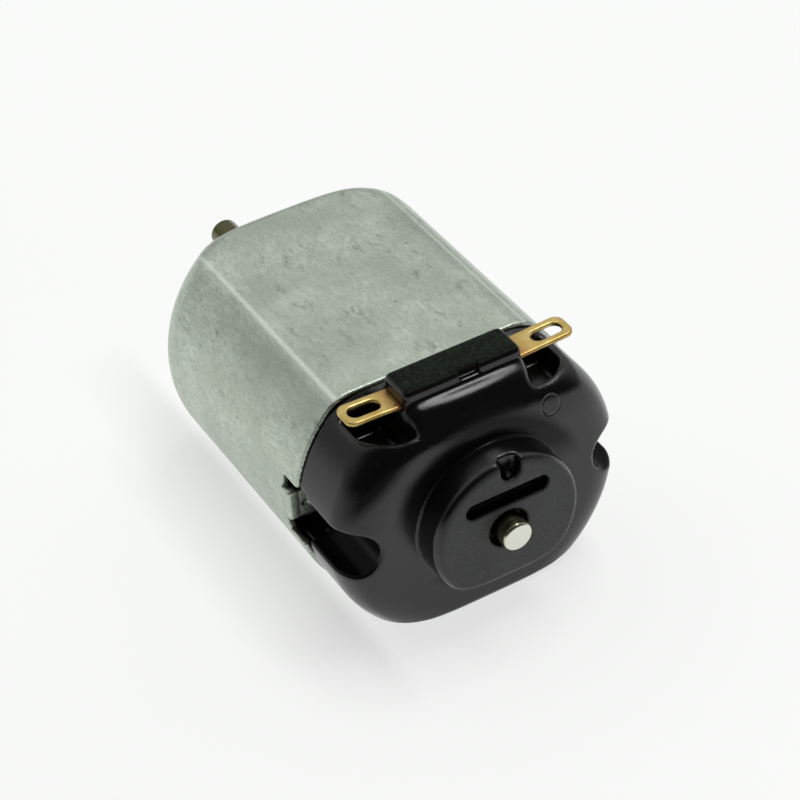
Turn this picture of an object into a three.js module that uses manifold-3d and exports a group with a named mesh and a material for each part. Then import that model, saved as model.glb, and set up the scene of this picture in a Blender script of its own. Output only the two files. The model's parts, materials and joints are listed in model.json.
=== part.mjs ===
// Small flat-sided brushed DC motor, as an assembly of its separate pieces.
// Millimetres. The shaft lies along Y, the output end points to +Y and the end bell faces -Y.
// +Z is up and the solder tabs are on top. The origin is the centre of the can's bottom flat.
// Inside the motor group, z is measured from the shaft axis, and y from the can's open rim.

import * as THREE from 'three';
import { mergeVertices } from 'three/addons/utils/BufferGeometryUtils.js';
import Module from 'manifold-3d';

const wasm = await Module();
wasm.setup();

// Driving dimensions

const BODY_RADIUS = 10.05;
const BODY_HALF_HEIGHT = 7.55;
const CAN_LENGTH = 19.6;
const CAN_WALL = 0.5;
const CAN_EDGE = { side: 3.2, top: 1.1, bottom: 1.1 };

const FRONT_BOSS_RADIUS = 3.075;
const FRONT_BOSS_HEIGHT = 1.6;
const FRONT_BOSS_EDGE = 0.35;
const FRONT_SHAFT_HOLE_RADIUS = 1.7;

const SHAFT_RADIUS = 1.0;
const SHAFT_FRONT = 28.8;
const SHAFT_REAR = -9.2;
const SHAFT_CHAMFER = 0.18;

const BEARING_RADIUS = 2.45;
const BEARING_LENGTH = 2.1;
const BEARING_SEAT_RADIUS = 2.52;
const RUNNING_GAP = 0.035;
const FIXED_GAP = 0.04;

const BELL_INSET = { side: 0.13, flat: 0.07 };
const BELL_RIM_GAP = 0.12;
const BELL_DEPTH = 6.25;
const BELL_EDGE = { side: 2.6, top: 2.4, bottom: 0.6 };
const BELL_PLUG_GAP = 0.1;
const BELL_PLUG_LENGTH = 3.0;
const BELL_CAVITY_RADIUS = 5.9;
const BELL_CAVITY_HALF_HEIGHT = 5.4;
const BELL_CAVITY_DEPTH = 4.9;

const REAR_BOSS_RADIUS = 5.0;
const REAR_BOSS_FLAT = 3.8;
const REAR_BOSS_FACE = -8.15;
const REAR_BOSS_CHAMFER = 0.3;
const REAR_SHAFT_HOLE_RADIUS = 1.35;
const REAR_SHAFT_HOLE_DEPTH = 1.0;
const BOSS_SLOT = { length: 5.76, width: 1.12, height: 2.37, depth: 0.75 };
const BOSS_NOTCH = { x: 0.2, width: 1.3, bottom: 3.6, depth: 0.75 };

const BLOCK = { halfWidth: 4.2, front: -1.1, rear: -3.75, top: 9.1, chamfer: 0.3, rearFace: 0.8 };
const RAMP = { low: 7.0, rear: -4.8 };
const BLOCK_NOTCH = { low: -0.35, high: 1.05, bottom: 8.45, depth: 0.4 };
const POCKET = { front: -1.0, straight: -3.0, rear: -5.15, inner: 4.35, outer: 6.85, floor: 5.0, lean: 0.6 };

const CHANNEL = { x: 9.2, z: 0.2, radius: 1.65, end: 2.2, roomRear: -1.0 };
const NOTCH = { low: -2.6, high: 2.0, depth: 1.7, floor: 7.9 };
const TAB = { low: -1.1, high: 1.0, rear: 0.9, front: 1.4, reach: 1.95, overlap: 0.1 };

const TERMINAL = { thickness: 0.3, front: -1.4, rear: -3.4, height: 7.95, leg: 3.45, legEnd: 3.6 };
const TERMINAL_TIP = { right: 8.05, left: 7.6 };
const TERMINAL_LIFT = THREE.MathUtils.degToRad(4);
const TERMINAL_CHAMFER = 0.36;
const TERMINAL_SLOT = { fromTip: 1.5, length: 2.1, width: 1.0 };
const TERMINAL_GAP = 0.08;
const TERMINAL_LIFT_ROOM = 0.3;

const BRUSH_ARM = { inner: 3.06, thickness: 0.2, width: 1.4, top: 5.0, bottom: -2.2 };
const BRUSH = { width: 1.6, height: 1.3, inner: 1.5, faceRadius: 2.5, weldGap: 0.01 };
const BRUSH_CENTRE = (TERMINAL.front + TERMINAL.rear) / 2;

const MAGNET = { inner: 6.9, outer: 9.45, front: 16.1, rear: 3.6 };
const MAGNET_HALF_ANGLE = THREE.MathUtils.degToRad(42);
const SPRING = { thickness: 0.25, front: 14.0, rear: 5.6, gap: 0.05 };
const SPRING_LIP = { startX: 4.1, endX: 5.55, drop: 1.2 };

const STACK_REAR = 5.6;
const LAMINATION_COUNT = 16;
const LAMINATION_THICKNESS = 0.5;
const STACK_FRONT = STACK_REAR + LAMINATION_COUNT * LAMINATION_THICKNESS;
const POLE_COUNT = 3;
const POLE_ANGLE = 2 * Math.PI / POLE_COUNT;
const POLE_HALF_SPAN = THREE.MathUtils.degToRad(53.8);
const POLE = { radius: 6.5, lipRadius: 5.6, neckTop: 4.9, halfNeck: 1.3, hub: 2.6 };
const INSULATOR_THICKNESS = 0.4;
const INSULATOR_INSET = 0.3;
const COIL = { inner: 2.8, shoulder: 3.9, outer: 4.7, halfWidth: 2.9, turnDepth: 0.7, bevel: 0.5, gap: 0.08 };

const COMMUTATOR = { radius: 2.4, inner: 1.95, rear: -4.2, front: -0.5 };
const COMMUTATOR_GAP_ANGLE = THREE.MathUtils.degToRad(9);
const RISER = { radius: 3.6, thickness: 0.4, halfAngle: THREE.MathUtils.degToRad(16) };
const HUB = { flangeRadius: 2.7, flangeFront: 0.8, neckRadius: 1.9, front: 5.1, rear: -4.35 };
const RING = { outer: 2.75, length: 0.4 };

const SPACER_RADIUS = 1.75;
const WASHER = { radius: 2.1, thickness: 0.25, play: 0.15 };

const ROUND_SEGMENTS = 24;
const POLE_CURVE_SEGMENTS = 6;
const BODY_SEGMENTS = 40;
const BODY_ARC_SEGMENTS = 7;
const EDGE_STEPS = 4;
const FAR = 40;

// Materials

const steelZinc = { color: 0xa8aca6, roughness: 0.42, metalness: 0.85 };
const blackPlastic = { color: 0x121314, roughness: 0.18, metalness: 0.0 };
const brass = { color: 0xc79a4b, roughness: 0.35, metalness: 0.9 };
const polishedSteel = { color: 0xcfcdc6, roughness: 0.18, metalness: 1.0 };
const bronze = { color: 0x8a6a45, roughness: 0.6, metalness: 0.7 };
const ferrite = { color: 0x3a3b3d, roughness: 0.75, metalness: 0.1 };
const springSteel = { color: 0x8f9296, roughness: 0.35, metalness: 0.95 };
const siliconSteel = { color: 0x7b7f84, roughness: 0.45, metalness: 0.9 };
const redFibre = { color: 0x8c2f22, roughness: 0.7, metalness: 0.0 };
const copper = { color: 0xb4622f, roughness: 0.35, metalness: 0.9 };
const brownPhenolic = { color: 0x4a2a1c, roughness: 0.5, metalness: 0.0 };
const whiteNylon = { color: 0xe4e1d6, roughness: 0.5, metalness: 0.0 };
const graphite = { color: 0x2b2a2a, roughness: 0.6, metalness: 0.3 };

// Solids: closed geometries become manifold solids for joining and cutting

function toSolid(geometry) {
  const positionOnly = geometry.clone();
  positionOnly.deleteAttribute('normal');
  positionOnly.deleteAttribute('uv');
  const merged = mergeVertices(positionOnly);
  const corners = merged.index.array;
  const triangles = [];
  for (let i = 0; i < corners.length; i += 3) {
    const [a, b, c] = corners.slice(i, i + 3);
    const isSliver = a === b || b === c || c === a;
    if (!isSliver) {
      triangles.push(a, b, c);
    }
  }
  const mesh = new wasm.Mesh({
    numProp: 3,
    vertProperties: new Float32Array(merged.attributes.position.array),
    triVerts: new Uint32Array(triangles),
  });
  return new wasm.Manifold(mesh);
}

function toGeometry(solid) {
  const mesh = solid.getMesh();
  const geometry = new THREE.BufferGeometry();
  geometry.setAttribute('position', new THREE.BufferAttribute(new Float32Array(mesh.vertProperties), 3));
  geometry.setIndex(new THREE.BufferAttribute(new Uint32Array(mesh.triVerts), 1));
  geometry.computeVertexNormals();
  return geometry;
}

function cut(solid, ...tools) {
  return tools.reduce((rest, tool) => rest.subtract(tool), solid);
}

function join(...solids) {
  return solids.reduce((whole, solid) => whole.add(solid));
}

// A box between two corners
function boxSolid([x0, y0, z0], [x1, y1, z1]) {
  const box = new THREE.BoxGeometry(x1 - x0, y1 - y0, z1 - z0);
  box.translate((x0 + x1) / 2, (y0 + y1) / 2, (z0 + z1) / 2);
  return toSolid(box);
}

// A shape drawn in the X-Z plane, extruded along Y between two places
function alongY(shape, rear, front, curveSegments = ROUND_SEGMENTS) {
  const depth = front - rear;
  const geometry = new THREE.ExtrudeGeometry(shape, { depth, bevelEnabled: false, curveSegments });
  geometry.rotateX(Math.PI / 2);
  geometry.translate(0, front, 0);
  return geometry;
}

// As alongY, with both end edges chamfered inside the stated size
function alongYChamfered(shape, rear, front, chamfer, curveSegments = ROUND_SEGMENTS) {
  const geometry = new THREE.ExtrudeGeometry(shape, {
    depth: front - rear - 2 * chamfer,
    bevelEnabled: true,
    bevelThickness: chamfer,
    bevelSize: chamfer,
    bevelOffset: -chamfer,
    bevelSegments: 1,
    curveSegments,
  });
  geometry.rotateX(Math.PI / 2);
  geometry.translate(0, front - chamfer, 0);
  return geometry;
}

// A shape drawn in the Y-Z plane, extruded along X between two places
function alongX(shape, low, high, curveSegments = 6) {
  const depth = high - low;
  const geometry = new THREE.ExtrudeGeometry(shape, { depth, bevelEnabled: false, curveSegments });
  const axes = new THREE.Matrix4().makeBasis(
    new THREE.Vector3(0, 1, 0),
    new THREE.Vector3(0, 0, 1),
    new THREE.Vector3(1, 0, 0),
  );
  geometry.applyMatrix4(axes);
  geometry.translate(low, 0, 0);
  return geometry;
}

// A shape drawn in the X-Y plane, extruded along Z between two heights
function alongZ(shape, low, high, curveSegments = 8) {
  const depth = high - low;
  const geometry = new THREE.ExtrudeGeometry(shape, { depth, bevelEnabled: false, curveSegments });
  geometry.translate(0, 0, low);
  return geometry;
}

// A solid of revolution about the shaft axis, from [radius, y] points
function turned(profile, segments = ROUND_SEGMENTS) {
  return new THREE.LatheGeometry(profile.map(([radius, y]) => new THREE.Vector2(radius, y)), segments);
}

function rod(radius, rear, front, segments = ROUND_SEGMENTS) {
  return turned([[0, rear], [radius, rear], [radius, front], [0, front]], segments);
}

function sleeve(inner, outer, rear, front, segments = ROUND_SEGMENTS) {
  return turned([[inner, rear], [outer, rear], [outer, front], [inner, front], [inner, rear]], segments);
}

function polygon(points) {
  return new THREE.Shape(points.map(([x, y]) => new THREE.Vector2(x, y)));
}

// A round outline with a flat above and below
function flattedCircle(radius, halfHeight) {
  const halfAngle = Math.asin(halfHeight / radius);
  const shape = new THREE.Shape();
  shape.absarc(0, 0, radius, -halfAngle, halfAngle, false);
  shape.absarc(0, 0, radius, Math.PI - halfAngle, Math.PI + halfAngle, false);
  shape.closePath();
  return shape;
}

// A slot outline with round ends, centred on a point
function roundSlot(centreX, centreY, length, width) {
  const end = (length - width) / 2;
  const shape = new THREE.Shape();
  shape.absarc(centreX + end, centreY, width / 2, -Math.PI / 2, Math.PI / 2, false);
  shape.absarc(centreX - end, centreY, width / 2, Math.PI / 2, 3 * Math.PI / 2, false);
  shape.closePath();
  return shape;
}

// The corner of a rounded end, as [across, y] points from the side to the end face
function roundedCorner(across, end, radius, toward) {
  const points = [];
  for (let step = 0; step <= EDGE_STEPS; step += 1) {
    const angle = step / EDGE_STEPS * Math.PI / 2;
    points.push([
      across - radius * (1 - Math.cos(angle)),
      end - toward * radius * (1 - Math.sin(angle)),
    ]);
  }
  return points;
}

// A flatted cylinder along Y with one plain end and one rounded end: a turned body between two flats.
// The end's edge has its own radius on the round sides, the top flat and the bottom flat.
function flattedBody(radius, halfHeight, plainEnd, roundEnd, edge) {
  const toward = Math.sign(roundEnd - plainEnd);
  const side = [[radius, plainEnd], ...roundedCorner(radius, roundEnd, edge.side, toward)];
  const profile = [[0, plainEnd], ...side, [0, roundEnd]];
  const round = turned(toward > 0 ? profile : profile.reverse(), BODY_SEGMENTS);
  const upper = [[halfHeight, plainEnd], ...roundedCorner(halfHeight, roundEnd, edge.top, toward)];
  const lower = [[halfHeight, plainEnd], ...roundedCorner(halfHeight, roundEnd, edge.bottom, toward)];
  const mirroredLower = lower.map(([height, y]) => [-height, y]).reverse();
  const slab = polygon([...upper, ...mirroredLower].map(([height, y]) => [y, height]));
  return toSolid(round).intersect(toSolid(alongX(slab, -FAR, FAR)));
}

// The same solid on the other side of the motor
function mirrorX(solid) {
  return solid.mirror([1, 0, 0]);
}

// Housing

function canGeometry() {
  const outer = flattedBody(BODY_RADIUS, BODY_HALF_HEIGHT, 0, CAN_LENGTH, CAN_EDGE);
  const inner = flattedBody(
    BODY_RADIUS - CAN_WALL,
    BODY_HALF_HEIGHT - CAN_WALL,
    -1,
    CAN_LENGTH - CAN_WALL,
    {
      side: CAN_EDGE.side - CAN_WALL,
      top: CAN_EDGE.top - CAN_WALL,
      bottom: CAN_EDGE.bottom - CAN_WALL,
    },
  );
  const bossFront = CAN_LENGTH + FRONT_BOSS_HEIGHT;
  const boss = toSolid(turned([
    [0, CAN_LENGTH - CAN_WALL / 2],
    [FRONT_BOSS_RADIUS, CAN_LENGTH - CAN_WALL / 2],
    [FRONT_BOSS_RADIUS, bossFront - FRONT_BOSS_EDGE],
    [FRONT_BOSS_RADIUS - FRONT_BOSS_EDGE, bossFront],
    [0, bossFront],
  ]));
  const seat = toSolid(rod(BEARING_SEAT_RADIUS, CAN_LENGTH - 1, bossFront - CAN_WALL));
  const shaftHole = toSolid(rod(FRONT_SHAFT_HOLE_RADIUS, CAN_LENGTH, bossFront + 1));
  const cup = cut(outer.subtract(inner).add(boss), seat, shaftHole);
  const notches = [1, -1].map((side) => rimNotch(side));
  const tab = crimpTab();
  return toGeometry(join(cut(cup, ...notches), tab, mirrorX(tab)));
}

// The opening in the rim that the tab is bent in from
function rimNotch(side) {
  const [low, high] = sideSpan(side, NOTCH.floor, FAR);
  return boxSolid([low, -1, NOTCH.low], [high, NOTCH.depth, NOTCH.high]);
}

// Two distances from the middle, as low and high X on the chosen side
function sideSpan(side, near, far) {
  return side > 0 ? [near, far] : [-far, -near];
}

// A tab of the can wall on the +X side, bent square inwards over the end bell to hold it
function crimpTab() {
  const root = NOTCH.depth + TAB.overlap;
  const outerX = BODY_RADIUS - TAB.overlap;
  const innerX = BODY_RADIUS - CAN_WALL;
  const cornerCut = CAN_WALL / 2;
  const section = polygon([
    [outerX, root],
    [innerX, root],
    [innerX, TAB.front],
    [outerX - TAB.reach, TAB.front],
    [outerX - TAB.reach, TAB.rear],
    [outerX - cornerCut, TAB.rear],
    [outerX, TAB.rear + cornerCut],
  ]);
  return toSolid(alongZ(section, TAB.low, TAB.high));
}

// The raised block between the solder tabs, with a curved ramp behind it down to the bell's face
function bellBlockSolid() {
  const profile = new THREE.Shape();
  profile.moveTo(BLOCK.front, 0);
  profile.lineTo(RAMP.rear, 0);
  profile.lineTo(RAMP.rear, RAMP.low);
  profile.quadraticCurveTo(BLOCK.rear, RAMP.low, BLOCK.rear, BLOCK.top - BLOCK.rearFace);
  profile.lineTo(BLOCK.rear, BLOCK.top - BLOCK.chamfer);
  profile.lineTo(BLOCK.rear + BLOCK.chamfer, BLOCK.top);
  profile.lineTo(BLOCK.front - BLOCK.chamfer, BLOCK.top);
  profile.lineTo(BLOCK.front, BLOCK.top - BLOCK.chamfer);
  profile.closePath();
  return toSolid(alongX(profile, -BLOCK.halfWidth, BLOCK.halfWidth));
}

// The two solder pockets under the tabs, each D-shaped seen from above
function pocketSolids() {
  const shape = new THREE.Shape();
  shape.moveTo(POCKET.inner, POCKET.front);
  shape.lineTo(POCKET.inner, BLOCK.rear);
  shape.lineTo(POCKET.inner - POCKET.lean, POCKET.rear);
  shape.quadraticCurveTo(POCKET.outer, POCKET.rear, POCKET.outer, POCKET.straight);
  shape.lineTo(POCKET.outer, POCKET.front);
  shape.closePath();
  const pocket = toSolid(alongZ(shape, POCKET.floor, FAR, 6));
  return [pocket, mirrorX(pocket)];
}

// A room for each terminal: along its tab and down its leg into the cavity
function terminalSlotSolids() {
  const halfThickness = TERMINAL.thickness / 2 + TERMINAL_GAP;
  const rear = TERMINAL.rear - TERMINAL_GAP;
  const front = TERMINAL.front + TERMINAL_GAP;
  const inner = BRUSH_ARM.inner - TERMINAL_GAP;
  const tabLow = TERMINAL.height - halfThickness;
  const legHigh = TERMINAL.height + halfThickness;
  const tabHigh = legHigh + TERMINAL_LIFT_ROOM;
  return [1, -1].flatMap((side) => {
    const leg = sideSpan(side, inner, TERMINAL.leg + halfThickness);
    const tab = sideSpan(side, inner, FAR);
    return [
      boxSolid([leg[0], rear, TERMINAL.legEnd - 1], [leg[1], front, legHigh]),
      boxSolid([tab[0], rear, tabLow], [tab[1], front, tabHigh]),
    ];
  });
}

// The channels in the sides, opened wider where the can's tabs bend in
function channelSolids() {
  return [1, -1].flatMap((side) => {
    const channel = rod(CHANNEL.radius, -FAR, CHANNEL.end);
    channel.translate(side * CHANNEL.x, 0, CHANNEL.z);
    const [low, high] = sideSpan(side, NOTCH.floor, FAR);
    return [toSolid(channel), boxSolid([low, CHANNEL.roomRear, NOTCH.low], [high, CHANNEL.end, NOTCH.high])];
  });
}

function rearBossSolid() {
  const chordAngle = Math.asin(REAR_BOSS_FLAT / REAR_BOSS_RADIUS);
  const outline = new THREE.Shape();
  outline.absarc(0, 0, REAR_BOSS_RADIUS, -chordAngle, Math.PI + chordAngle, false);
  outline.closePath();
  const boss = toSolid(
    alongYChamfered(outline, REAR_BOSS_FACE, -BELL_DEPTH / 2, REAR_BOSS_CHAMFER, ROUND_SEGMENTS / 2),
  );
  const slot = alongY(
    roundSlot(0, BOSS_SLOT.height, BOSS_SLOT.length, BOSS_SLOT.width),
    REAR_BOSS_FACE - 1,
    REAR_BOSS_FACE + BOSS_SLOT.depth,
    6,
  );
  const notch = boxSolid(
    [BOSS_NOTCH.x - BOSS_NOTCH.width / 2, REAR_BOSS_FACE - 1, BOSS_NOTCH.bottom],
    [BOSS_NOTCH.x + BOSS_NOTCH.width / 2, REAR_BOSS_FACE + BOSS_NOTCH.depth, FAR],
  );
  return cut(boss, toSolid(slot), notch);
}

function endBellGeometry() {
  const flange = flattedBody(
    BODY_RADIUS - BELL_INSET.side,
    BODY_HALF_HEIGHT - BELL_INSET.flat,
    -BELL_RIM_GAP,
    -BELL_DEPTH,
    BELL_EDGE,
  );
  const plugInset = CAN_WALL + BELL_PLUG_GAP;
  const plug = toSolid(alongY(
    flattedCircle(BODY_RADIUS - plugInset, BODY_HALF_HEIGHT - plugInset),
    -1,
    BELL_PLUG_LENGTH,
    BODY_ARC_SEGMENTS,
  ));
  const cavity = toSolid(alongY(
    flattedCircle(BELL_CAVITY_RADIUS, BELL_CAVITY_HALF_HEIGHT),
    -BELL_CAVITY_DEPTH,
    FAR,
    10,
  ));
  const holeFront = REAR_BOSS_FACE + REAR_SHAFT_HOLE_DEPTH;
  const shaftHole = toSolid(rod(REAR_SHAFT_HOLE_RADIUS, -FAR, holeFront + 0.1));
  const bearingSeat = toSolid(rod(BEARING_SEAT_RADIUS, holeFront, 0));
  const blockNotch = boxSolid(
    [BLOCK_NOTCH.low, -FAR, BLOCK_NOTCH.bottom],
    [BLOCK_NOTCH.high, BLOCK.rear + BLOCK_NOTCH.depth, FAR],
  );
  const block = cut(bellBlockSolid(), blockNotch);
  const body = join(flange, plug, block, rearBossSolid());
  return toGeometry(cut(
    body,
    cavity,
    bearingSeat,
    shaftHole,
    ...pocketSolids(),
    ...terminalSlotSolids(),
    ...channelSolids(),
  ));
}

function bearingGeometry(rear) {
  return sleeve(SHAFT_RADIUS + RUNNING_GAP, BEARING_RADIUS, rear, rear + BEARING_LENGTH);
}

function magnetGeometry(side) {
  const shape = new THREE.Shape();
  shape.absarc(0, 0, MAGNET.outer, -MAGNET_HALF_ANGLE, MAGNET_HALF_ANGLE, false);
  shape.absarc(0, 0, MAGNET.inner, MAGNET_HALF_ANGLE, -MAGNET_HALF_ANGLE, true);
  shape.closePath();
  const magnet = alongY(shape, MAGNET.rear, MAGNET.front, 6);
  magnet.rotateY(side > 0 ? 0 : Math.PI);
  return magnet;
}

// A bent strip against the can's flat, its lips pressed on the magnets' edges
function magnetSpringGeometry(side) {
  const high = BODY_HALF_HEIGHT - CAN_WALL - SPRING.gap;
  const low = high - SPRING.thickness;
  const lip = high - SPRING_LIP.drop;
  const strip = polygon([
    [-SPRING_LIP.endX, lip],
    [-SPRING_LIP.startX, low],
    [SPRING_LIP.startX, low],
    [SPRING_LIP.endX, lip],
    [SPRING_LIP.endX + SPRING.thickness, lip + SPRING.thickness],
    [SPRING_LIP.startX + SPRING.thickness / 2, high],
    [-SPRING_LIP.startX - SPRING.thickness / 2, high],
    [-SPRING_LIP.endX - SPRING.thickness, lip + SPRING.thickness],
  ]);
  const geometry = alongY(strip, SPRING.rear, SPRING.front);
  geometry.rotateY(side > 0 ? 0 : Math.PI);
  return geometry;
}

// Terminals and brush gear

function terminalGeometry(side) {
  const tip = side > 0 ? TERMINAL_TIP.right : TERMINAL_TIP.left;
  const plate = new THREE.Shape();
  plate.moveTo(TERMINAL.leg - TERMINAL.thickness / 2, TERMINAL.rear);
  plate.lineTo(tip - TERMINAL_CHAMFER, TERMINAL.rear);
  plate.lineTo(tip, TERMINAL.rear + TERMINAL_CHAMFER);
  plate.lineTo(tip, TERMINAL.front - TERMINAL_CHAMFER);
  plate.lineTo(tip - TERMINAL_CHAMFER, TERMINAL.front);
  plate.lineTo(TERMINAL.leg - TERMINAL.thickness / 2, TERMINAL.front);
  plate.closePath();
  const middle = (TERMINAL.front + TERMINAL.rear) / 2;
  plate.holes.push(roundSlot(tip - TERMINAL_SLOT.fromTip, middle, TERMINAL_SLOT.length, TERMINAL_SLOT.width));
  const tab = alongZ(plate, -TERMINAL.thickness / 2, TERMINAL.thickness / 2, 5);
  tab.translate(-BLOCK.halfWidth, 0, 0);
  tab.rotateY(-TERMINAL_LIFT);
  tab.translate(BLOCK.halfWidth, 0, TERMINAL.height);
  const leg = boxSolid(
    [TERMINAL.leg - TERMINAL.thickness / 2, TERMINAL.rear, TERMINAL.legEnd],
    [TERMINAL.leg + TERMINAL.thickness / 2, TERMINAL.front, TERMINAL.height],
  );
  const whole = join(toSolid(tab), leg);
  return toGeometry(side > 0 ? whole : mirrorX(whole));
}

function brushArmGeometry(side) {
  const centre = side * (BRUSH_ARM.inner + BRUSH_ARM.thickness / 2);
  const arm = new THREE.BoxGeometry(BRUSH_ARM.thickness, BRUSH_ARM.width, BRUSH_ARM.top - BRUSH_ARM.bottom);
  arm.translate(centre, BRUSH_CENTRE, (BRUSH_ARM.top + BRUSH_ARM.bottom) / 2);
  return arm;
}

// The pad between the arm and the commutator, hollowed to the commutator's curve
function brushGeometry(side) {
  const outer = BRUSH_ARM.inner - BRUSH.weldGap;
  const block = boxSolid(
    [BRUSH.inner, BRUSH_CENTRE - BRUSH.width / 2, -BRUSH.height / 2],
    [outer, BRUSH_CENTRE + BRUSH.width / 2, BRUSH.height / 2],
  );
  const pad = cut(block, toSolid(rod(BRUSH.faceRadius, -FAR, FAR, 2 * ROUND_SEGMENTS)));
  return toGeometry(side > 0 ? pad : mirrorX(pad));
}

// Rotor

function shaftGeometry() {
  return turned([
    [0, SHAFT_REAR],
    [SHAFT_RADIUS - SHAFT_CHAMFER, SHAFT_REAR],
    [SHAFT_RADIUS, SHAFT_REAR + SHAFT_CHAMFER],
    [SHAFT_RADIUS, SHAFT_FRONT - SHAFT_CHAMFER],
    [SHAFT_RADIUS - SHAFT_CHAMFER, SHAFT_FRONT],
    [0, SHAFT_FRONT],
  ]);
}

// A point given along a pole and across it, for the pole at an angle
function onPole(angle, along, across) {
  return [
    along * Math.cos(angle) - across * Math.sin(angle),
    along * Math.sin(angle) + across * Math.cos(angle),
  ];
}

// The three-pole plate, drawn pole by pole: neck, lip, face, lip, neck, then the hub's arc
function poleOutline(inset) {
  const face = POLE.radius - inset;
  const lip = POLE.lipRadius + inset / 2;
  const hubAlong = Math.sqrt(POLE.hub ** 2 - POLE.halfNeck ** 2);
  const hubAngle = Math.atan2(POLE.halfNeck, hubAlong);
  const shape = new THREE.Shape();
  for (let pole = 0; pole < POLE_COUNT; pole += 1) {
    const angle = Math.PI / 2 + pole * POLE_ANGLE;
    const lineTo = (along, across) => shape.lineTo(...onPole(angle, along, across));
    if (pole === 0) {
      shape.moveTo(...onPole(angle, hubAlong, -POLE.halfNeck));
    }
    lineTo(POLE.neckTop, -POLE.halfNeck);
    lineTo(lip * Math.cos(POLE_HALF_SPAN), -lip * Math.sin(POLE_HALF_SPAN));
    shape.absarc(0, 0, face, angle - POLE_HALF_SPAN, angle + POLE_HALF_SPAN, false);
    lineTo(lip * Math.cos(POLE_HALF_SPAN), lip * Math.sin(POLE_HALF_SPAN));
    lineTo(POLE.neckTop, POLE.halfNeck);
    lineTo(hubAlong, POLE.halfNeck);
    const hubStart = angle + hubAngle;
    const hubEnd = angle + POLE_ANGLE - hubAngle;
    const middle = (hubStart + hubEnd) / 2;
    shape.lineTo(POLE.hub * Math.cos(middle), POLE.hub * Math.sin(middle));
    if (pole < POLE_COUNT - 1) {
      shape.lineTo(POLE.hub * Math.cos(hubEnd), POLE.hub * Math.sin(hubEnd));
    }
  }
  shape.closePath();
  const hole = new THREE.Path();
  hole.absarc(0, 0, SHAFT_RADIUS + FIXED_GAP, 0, 2 * Math.PI, true);
  shape.holes.push(hole);
  return shape;
}

function laminationGeometry(number) {
  const rear = STACK_REAR + number * LAMINATION_THICKNESS;
  return alongY(poleOutline(0), rear, rear + LAMINATION_THICKNESS, POLE_CURVE_SEGMENTS);
}

function insulatorGeometry(rear) {
  return alongY(poleOutline(INSULATOR_INSET), rear, rear + INSULATOR_THICKNESS, POLE_CURVE_SEGMENTS);
}

// One winding: a block round the neck with the neck and the stack's length cut out
function coilGeometry(number) {
  const angle = Math.PI / 2 + number * POLE_ANGLE;
  const inner = POLE.halfNeck + COIL.gap;
  const halfFace = [
    [COIL.outer, inner],
    [COIL.shoulder, COIL.halfWidth],
    [COIL.inner, COIL.halfWidth],
  ];
  const otherHalf = halfFace.map(([along, across]) => [along, -across]).reverse();
  const section = [...halfFace, ...otherHalf].map(([along, across]) => onPole(angle, along, across));
  const end = INSULATOR_THICKNESS + COIL.gap;
  const rear = STACK_REAR - end - COIL.turnDepth - COIL.bevel;
  const front = STACK_FRONT + end + COIL.turnDepth + COIL.bevel;
  const block = toSolid(alongYChamfered(polygon(section), rear, front, COIL.bevel, 4));
  const neck = [[0, -inner], [POLE.radius, -inner], [POLE.radius, inner], [0, inner]];
  const neckShape = polygon(neck.map(([along, across]) => onPole(angle, along, across)));
  const opening = toSolid(alongY(neckShape, STACK_REAR - end, STACK_FRONT + end));
  return toGeometry(cut(block, opening));
}

function commutatorHubGeometry() {
  const bore = SHAFT_RADIUS + FIXED_GAP;
  const drum = COMMUTATOR.inner - FIXED_GAP;
  return turned([
    [bore, HUB.rear],
    [drum, HUB.rear],
    [drum, COMMUTATOR.front + FIXED_GAP],
    [HUB.flangeRadius, COMMUTATOR.front + FIXED_GAP],
    [HUB.flangeRadius, HUB.flangeFront],
    [HUB.neckRadius, HUB.flangeFront],
    [HUB.neckRadius, HUB.front],
    [bore, HUB.front],
    [bore, HUB.rear],
  ]);
}

// One copper bar with its riser, which the coil ends are soldered to
function commutatorSegmentGeometry(number) {
  const centre = Math.PI / 2 + (number + 0.5) * POLE_ANGLE;
  const half = (POLE_ANGLE - COMMUTATOR_GAP_ANGLE) / 2;
  const bar = sector(COMMUTATOR.inner, COMMUTATOR.radius, centre, half);
  const riser = sector(COMMUTATOR.inner, RISER.radius, centre, RISER.halfAngle);
  return toGeometry(join(
    toSolid(alongY(bar, COMMUTATOR.rear, COMMUTATOR.front, 10)),
    toSolid(alongY(riser, COMMUTATOR.front - RISER.thickness, COMMUTATOR.front, 4)),
  ));
}

function sector(inner, outer, centre, half) {
  const shape = new THREE.Shape();
  shape.absarc(0, 0, outer, centre - half, centre + half, false);
  shape.absarc(0, 0, inner, centre + half, centre - half, true);
  shape.closePath();
  return shape;
}

function commutatorRingGeometry() {
  const rear = COMMUTATOR.rear - FIXED_GAP;
  return sleeve(COMMUTATOR.radius + FIXED_GAP, RING.outer, rear, rear + RING.length);
}

function washerGeometry(rear) {
  return sleeve(SHAFT_RADIUS + FIXED_GAP, WASHER.radius, rear, rear + WASHER.thickness);
}

function spacerGeometry(rear, front) {
  return sleeve(SHAFT_RADIUS + FIXED_GAP, SPACER_RADIUS, rear, front);
}

// Assembly

const motor = new THREE.Group();
motor.position.set(0, -(CAN_LENGTH - CAN_EDGE.bottom) / 2, BODY_HALF_HEIGHT);

function add(name, geometry, finish) {
  const mesh = new THREE.Mesh(geometry, new THREE.MeshStandardMaterial(finish));
  mesh.name = name;
  motor.add(mesh);
}

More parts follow.
